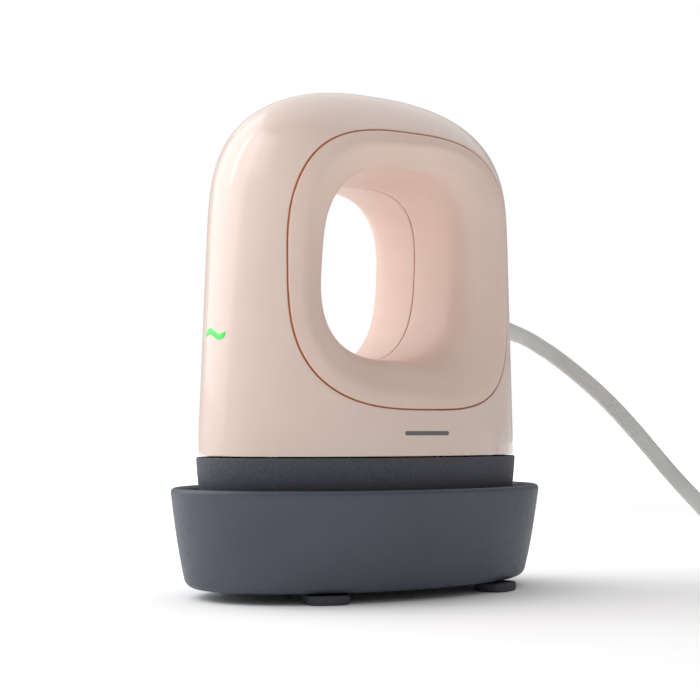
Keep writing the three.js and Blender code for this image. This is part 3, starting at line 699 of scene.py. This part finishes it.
def foot_shape():
    """A rounded pad standing on the height 0, without the stem and retaining head, which make_feet adds."""
    top = CRADLE["base"] - GAP
    a, b, edge = PAD["length"] / 2, PAD["width"] / 2, 0.7
    rings = [(0, 0, 0, 3), (a - edge - 1, b - edge - 1, 0, 3), (a - edge, b - edge, 0, 3)]
    for t in np.radians([22.5, 45, 67.5, 90]):
        inset = edge * (1 - math.sin(t))
        rings.append((a - inset, b - inset, edge * (1 - math.cos(t)), 3))
    rings += [(a, b, top - 0.25, 3), (a - 0.25, b - 0.25, top, 3), (0, 0, top, 3)]
    return loft(rings, 64)


def make_feet(looks):
    x, y = FOOT_STEM
    head = CRADLE["base"] + CRADLE_FLOOR + GAP
    tip = head + 1.2
    profile = [(0, 2), (STEM_RADIUS, 2), (STEM_RADIUS, head), (STEM_HEAD_RADIUS, head), (1.2, tip), (0, tip)]
    stem = turned(profile, 32)
    for number, (i, j) in enumerate([(-1, -1), (1, -1), (1, 1), (-1, 1)], 1):
        vertices, faces = foot_shape()
        turn = -i * j * PAD["turn"]
        c, s = math.cos(turn), math.sin(turn)
        px, py, pz = vertices.T
        pad = np.stack([c * px - s * py + PAD["shift_x"], s * px + c * py + j * PAD["shift_y"], pz], 1)
        shape = moved(together((pad, faces), stem), (i * x, j * y, 0))
        name = f"cradle_foot_{number}"
        piece(f"{name}_skin", shape, looks["rubber"], "cradle", [name])


# ---------------------------------------------------------------- small outside pieces


def round_ends(across, half, thick):
    """How much of its thickness a bar with round ends has at each place across."""
    past = (np.abs(across) - half + thick).clip(0)
    return np.sqrt(np.clip(1 - (past / thick) ** 2, 0, 1))


def wave_band(grow, out):
    """The wave-shaped light on the front end: a curved band that follows the shell's surface."""
    half, thick = WAVE["half"] + grow, WAVE["thick"] + grow
    across = np.linspace(-half, half, 49)
    ends = round_ends(across, half, thick)
    rows = []
    for share in np.linspace(-1, 1, 9):
        middle = LIGHT_Z + WAVE["swing"] * np.sin(np.pi * across / WAVE["half_period"])
        z = middle + share * thick * ends
        a, b, power = body_ring(z)
        x = -a * (1 - (np.abs(across) / b) ** power) ** (1 / power)
        rows.append(np.stack([x - out * ends * (1 - share**2) ** 0.5, across, z], 1))
    return np.stack(rows, 1)


def make_light(looks):
    front = wave_band(0, 0.12)
    back = front.copy()
    back[:, :, 0] = wave_band(0, 0)[:, :, 0] + 1.2
    shape = grid(np.concatenate([front, back[:, ::-1]], 1), close_u=False, close_v=True)
    piece("indicator_wave", shape, looks["glow"], "iron", ["light_pipe_low"])


def make_mark(looks):
    """A plain printed bar low on the side of -Y, without any lettering."""
    half, thick = MARK["half"], MARK["thick"]
    across = np.linspace(-half, half, 41)
    ends = round_ends(across, half, thick)
    rows = []
    for share in np.linspace(-1, 1, 5):
        z = MARK["z"] + share * thick * ends
        rows.append(np.stack([across, -side_y(across, z) - 0.02, z], 1))
    piece("printed_bar", grid(np.stack(rows, 1), close_u=False), looks["mark"], "iron")


def make_button(looks):
    radius, face, stem = BUTTON["radius"], BUTTON["face_x"], BUTTON["stem_x"]
    profile = [(0, stem), (2.4, stem), (2.4, face - 3.4), (radius, face - 3.4)]
    edge, dish = 0.6, 4.6
    for t in np.radians([0, 20, 40, 60]):
        profile.append((radius - edge * (1 - math.cos(t)), face - edge + edge * math.sin(t)))
    for r in np.linspace(dish, 0, 10):
        profile.append((r, face + 0.25 - 0.3 * math.cos(r / dish * math.pi / 2) ** 2))
    shape = moved(turned_towards_rear(turned(profile, 72)), (0, 0, BUTTON["z"]))
    piece("power_button_skin", shape, looks["insert"], "power_button", ["power_button"])


def make_bushing(looks):
    """The smooth strain relief, which tapers down to the cord's own thickness."""
    profile = [(0, -13), (3.4, -13), (5.4, -12.6), (5.4, -11.2), (3.4, -10.8), (3.35, -2)]
    for along in np.linspace(-1, 10, 24):
        share = (along + 1) / 11
        profile.append((3.3 - 0.91 * math.sin(share * math.pi / 2), along))
    profile += [(2.38, 11.3), (2.32, 11.4), (0, 11.4)]
    shape = moved(turned_towards_rear(turned(profile, 40), CORD_DROP), CORD_EXIT)
    piece("cord_bushing_skin", shape, looks["cord"], "iron", ["cord_bushing"])


# ---------------------------------------------------------------- cord, coil and plug


HANGING_ROUTE = [
    (56.6, 0, 71.4),
    (60.5, -0.5, 69.9),
    (64.4, -1.9, 67.6),
    (68, -4.2, 64.7),
    (71.3, -7.2, 61.2),
    (74.2, -10.7, 57.3),
    (76.8, -14.6, 53),
    (79.2, -18.7, 48.2),
    (81.6, -22.9, 42.8),
    (84.2, -27.1, 37),
    (87.2, -31.1, 31),
    (90.6, -34.9, 25.3),
    (94.2, -38.6, 19.7),
    (98.2, -42.3, 14.6),
    (102.9, -45.7, 10.2),
    (108.4, -48.7, 6.8),
    (114.6, -51, 4.6),
    (121.2, -52.8, 3.4),
    (128, -54.1, 3),
    (134.9, -55, 3.1),
    (141.8, -55.6, 3.3),
    (151.6, -56.3, 3.5),
]

TAIL_ROUTE = [
    (169.4, -55.5, 14.4),
    (174.7, -52.8, 17),
    (176.9, -50.8, 18.5),
    (178.9, -48.6, 19.9),
    (180.4, -46, 21.1),
    (181.6, -43.3, 22.1),
    (182.3, -40.4, 22.9),
    (182.5, -37.6, 23.3),
]


def coil_route():
    """The turns of the coil, from the outer bottom one through every place to the outer top one."""
    places = [(1, 0), (0, 0), (-1, 0), (-1, 1), (-1, 2), (0, 2), (0, 1), (1, 1), (1, 2)]  # (column, layer)
    enter, leave = -93.0, 2790.0
    first_change, between, width = 210.0, 340.0, 80.0
    route = []
    for angle in np.linspace(enter, leave, 170):
        column, layer = places[0]
        for number in range(1, len(places)):
            part = (angle - first_change - between * (number - 1)) / width + 0.5
            share = min(1.0, max(0.0, part))
            share = share * share * (3 - 2 * share)
            column += share * (places[number][0] - places[number - 1][0])
            layer += share * (places[number][1] - places[number - 1][1])
        radius = COIL["radius"] + column * COIL["pitch"]
        turn = math.radians(angle)
        height = COIL["bottom"] + (layer + 0.5) * COIL["pitch"]
        route.append((COIL["x"] + radius * math.cos(turn), COIL["y"] + radius * math.sin(turn), height))
    return route


def plug_shape():
    relief, end = PLUG["relief"], PLUG["relief"] + PLUG["body"]
    rings = [(0, 0, 0.3, 2), (2.6, 2.6, 0.3, 2)]
    for along in np.linspace(0.8, relief - 1, 40):
        share = (along - 0.8) / (relief - 1.8)
        groove = 0.22 * (0.5 - 0.5 * math.cos(2 * math.pi * (along - 0.8) / 2.04))
        rings.append((2.9 + 1.1 * share - groove, 2.9 + 1.0 * share - groove, along, 2))
    rings += [(5.2, 4.7, relief, 2.2), (6.5, 5.4, relief + 1, 2.6), (7.7, 6.1, relief + 3, 2.8)]
    rings += [(8.9, 6.7, relief + 6, 3.1), (9.6, 7, relief + 8, 3.2)]
    for along in np.linspace(relief + 9, end - 7, 40):
        share = (along - relief - 9) / (PLUG["body"] - 16)
        rib = 0.3 * (0.5 - 0.5 * math.cos(2 * math.pi * share * 4))
        rings.append((9.8 + 2.1 * share - rib, 7.05 + 0.4 * share - 0.4 * rib, along, 3.3 + 0.6 * share))
    rings += [(12, 7.5, end - 6, 4), (12, 7.5, end - 1, 4), (11.7, 7.2, end - 0.3, 4), (11, 6.5, end, 4)]
    rings += [(0, 0, end, 4)]
    vertices, faces = loft(rings, 96)
    x, y, z = vertices.T
    return np.stack([x + PLUG["x"], z + PLUG["rear_y"], PLUG["z"] - y], 1), faces


def make_cord(looks):
    route = [*HANGING_ROUTE, *coil_route(), *TAIL_ROUTE]
    path = smooth_path(route, 1.7)
    cord = piece("power_cord_sheath", tube(path, CORD_RADIUS, 14), looks["cord"], None)
    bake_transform(cord)
    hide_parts("power_cord", "cord_coil", "cord_tail")
    plug = piece("plug_body_skin", plug_shape(), looks["cord"], "cradle", ["plug_body"])
    tie = make_tie(looks)


def make_tie(looks):
    """A strap round the turns, on the side of the coil that faces the iron."""
    half = COIL["pitch"] * 1.5 + 0.35
    middle = COIL["bottom"] + COIL["pitch"] * 1.5
    rows = []
    angle = circle_angles(96)
    for along, grow in ((-3.5, 0), (-3.5, 0.7), (-3.2, 0.8), (3.2, 0.8), (3.5, 0.7), (3.5, 0)):
        u, w = superellipse(half + grow, half + grow, 7, angle)
        rows.append(np.stack([COIL["x"] - COIL["radius"] + u, np.full(96, COIL["y"] + along), middle + w], 1))
    shape = grid(np.stack(rows, 1), close_v=True)
    return piece("coil_tie_skin", shape, looks["black"], "cradle", ["coil_tie"])


# ---------------------------------------------------------------- carried-over CAD nodes


NODE_LOOKS = {
    "felt": ["cradle_liner"],
    "steel": ["element_cover", "heat_shield", "plug_blade_1", "plug_blade_2"],
    "element": ["heating_element"],
    "mica": ["insulation_pad"],
    "frame": ["chassis_plate", "spine_frame", "terminal_block", "cord_clamp"],
    "circuit": ["control_board", "light_board", "button_board"],
    "black": ["heater_relay", "microcontroller", "tact_switch"],
    "blue": ["filter_capacitor", "heater_lead_neutral", "mains_lead_neutral"],
    "red": ["heater_lead_live", "mains_lead_live"],
    "white": ["thermal_fuse", "thermistor", "sensor_lead", "button_lead", "light_lead"],
    "clear": [
        "indicator_led_low",
        "indicator_led_medium",
        "indicator_led_high",
        "light_pipe_medium",
        "light_pipe_high",
    ],
    "cord": ["cord_inner_end"],
}


def dress_nodes(frame, looks):
    for number in range(1, 5):
        NODE_LOOKS["steel"] += [f"plate_screw_{number}", f"shell_screw_{number}"]
    for look, names in NODE_LOOKS.items():
        for name in names:
            materials = frame["nodes"][name].data.materials
            materials.clear()
            materials.append(looks[look])


# ---------------------------------------------------------------- studio


def area_light(name, azimuth, elevation, distance, width, height, power):
    """A softbox aimed at the iron's middle from an azimuth and elevation in degrees, sizes in metres."""
    light = bpy.data.lights.new(name, "AREA")
    light.shape = "RECTANGLE"
    light.size, light.size_y = width, height
    light.energy = power
    lamp = bpy.data.objects.new(name, light)
    bpy.context.scene.collection.objects.link(lamp)
    turn, lift = math.radians(azimuth), math.radians(elevation)
    away = Vector((math.cos(lift) * math.cos(turn), math.cos(lift) * math.sin(turn), math.sin(lift)))
    lamp.location = Vector((0, 0, LIGHTS_AIM_Z)) + away * distance
    lamp.rotation_euler = (-away).to_track_quat("-Z", "Y").to_euler()


def make_sky():
    """An even studio that lights the iron softly, and that the camera sees as plain white."""
    world = bpy.data.worlds.new("studio")
    bpy.context.scene.world = world
    world.use_nodes = True
    nodes, links = world.node_tree.nodes, world.node_tree.links
    seen = nodes.new("ShaderNodeLightPath").outputs["Is Camera Ray"]
    pick = nodes.new("ShaderNodeMix")
    pick.inputs["A"].default_value = SKY_LEVEL
    pick.inputs["B"].default_value = 1.0
    links.new(seen, pick.inputs["Factor"])
    backdrop = nodes["Background"]
    backdrop.inputs["Color"].default_value = (1, 1, 1, 1)
    links.new(pick.outputs["Result"], backdrop.inputs["Strength"])


def make_floor():
    """A white floor that shows the shadow near the iron and fades into the white studio further out."""
    reach = 6.0
    corners = [(-reach, -reach, 0), (reach, -reach, 0), (reach, reach, 0), (-reach, reach, 0)]
    mesh = bpy.data.meshes.new("floor")
    mesh.from_pydata(corners, [], [(0, 1, 2, 3)])
    floor = bpy.data.objects.new("floor", mesh)
    bpy.context.scene.collection.objects.link(floor)
    look = Look("floor_white", 0.8)
    look.shader.inputs["Specular IOR Level"].default_value = 0.05
    look.shader.inputs["Base Color"].default_value = (FLOOR_TONE, FLOOR_TONE, FLOOR_TONE, 1)
    distance = look.nodes.new("ShaderNodeVectorMath")
    distance.operation = "LENGTH"
    look.links.new(look.place, distance.inputs[0])
    fade = look.nodes.new("ShaderNodeMapRange")
    fade.interpolation_type = "SMOOTHSTEP"
    fade.inputs["From Min"].default_value = FLOOR_FADE[0]
    fade.inputs["From Max"].default_value = FLOOR_FADE[1]
    look.links.new(distance.outputs["Value"], fade.inputs["Value"])
    look.shader.inputs["Emission Color"].default_value = (1, 1, 1, 1)
    look.links.new(fade.outputs["Result"], look.shader.inputs["Emission Strength"])
    mesh.materials.append(look.material)


def make_studio():
    bpy.context.scene.view_settings.view_transform = "Standard"
    make_sky()
    make_floor()
    area_light("key_left", 128, 30, 0.85, 0.95, 0.85, 4.0)
    area_light("streak_left", 131, 34, 0.84, 0.07, 0.4, 0.42)
    area_light("side_left", 168, 42, 0.85, 0.5, 0.5, 1.3)
    area_light("rear_high", 50, 60, 0.85, 1.1, 1.1, 2.4)
    area_light("front_fill", -118, 50, 0.85, 0.7, 0.7, 0.4)
    area_light("right_strip", 23, 8, 0.85, 0.08, 0.5, 0.06)


def make_camera():
    camera = bpy.data.objects.new("camera", bpy.data.cameras.new("camera"))
    bpy.context.scene.collection.objects.link(camera)
    camera.location = (-0.23987, -0.33546, 0.04319)
    camera.rotation_euler = (math.radians(93.032), 0, math.radians(-35.137))
    camera.data.lens = 77.8
    camera.data.sensor_width = 36
    camera.data.clip_start = 0.01
    bpy.context.scene.camera = camera


# ---------------------------------------------------------------- making everything


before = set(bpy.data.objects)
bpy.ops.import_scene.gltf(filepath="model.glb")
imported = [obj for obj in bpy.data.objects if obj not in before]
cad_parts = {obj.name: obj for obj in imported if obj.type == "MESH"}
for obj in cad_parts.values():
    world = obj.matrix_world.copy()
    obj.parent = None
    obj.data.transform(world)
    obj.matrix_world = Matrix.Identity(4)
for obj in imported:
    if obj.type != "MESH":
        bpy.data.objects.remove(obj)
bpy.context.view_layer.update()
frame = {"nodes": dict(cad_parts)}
looks = make_looks()
make_camera()
make_bushing(looks)
make_cord(looks)
make_shell(looks)
make_inserts(looks)
make_skirt(looks)
make_plate(looks)
make_cradle(looks)
make_feet(looks)
make_light(looks)
make_mark(looks)
make_button(looks)
dress_nodes(frame, looks)
make_studio()
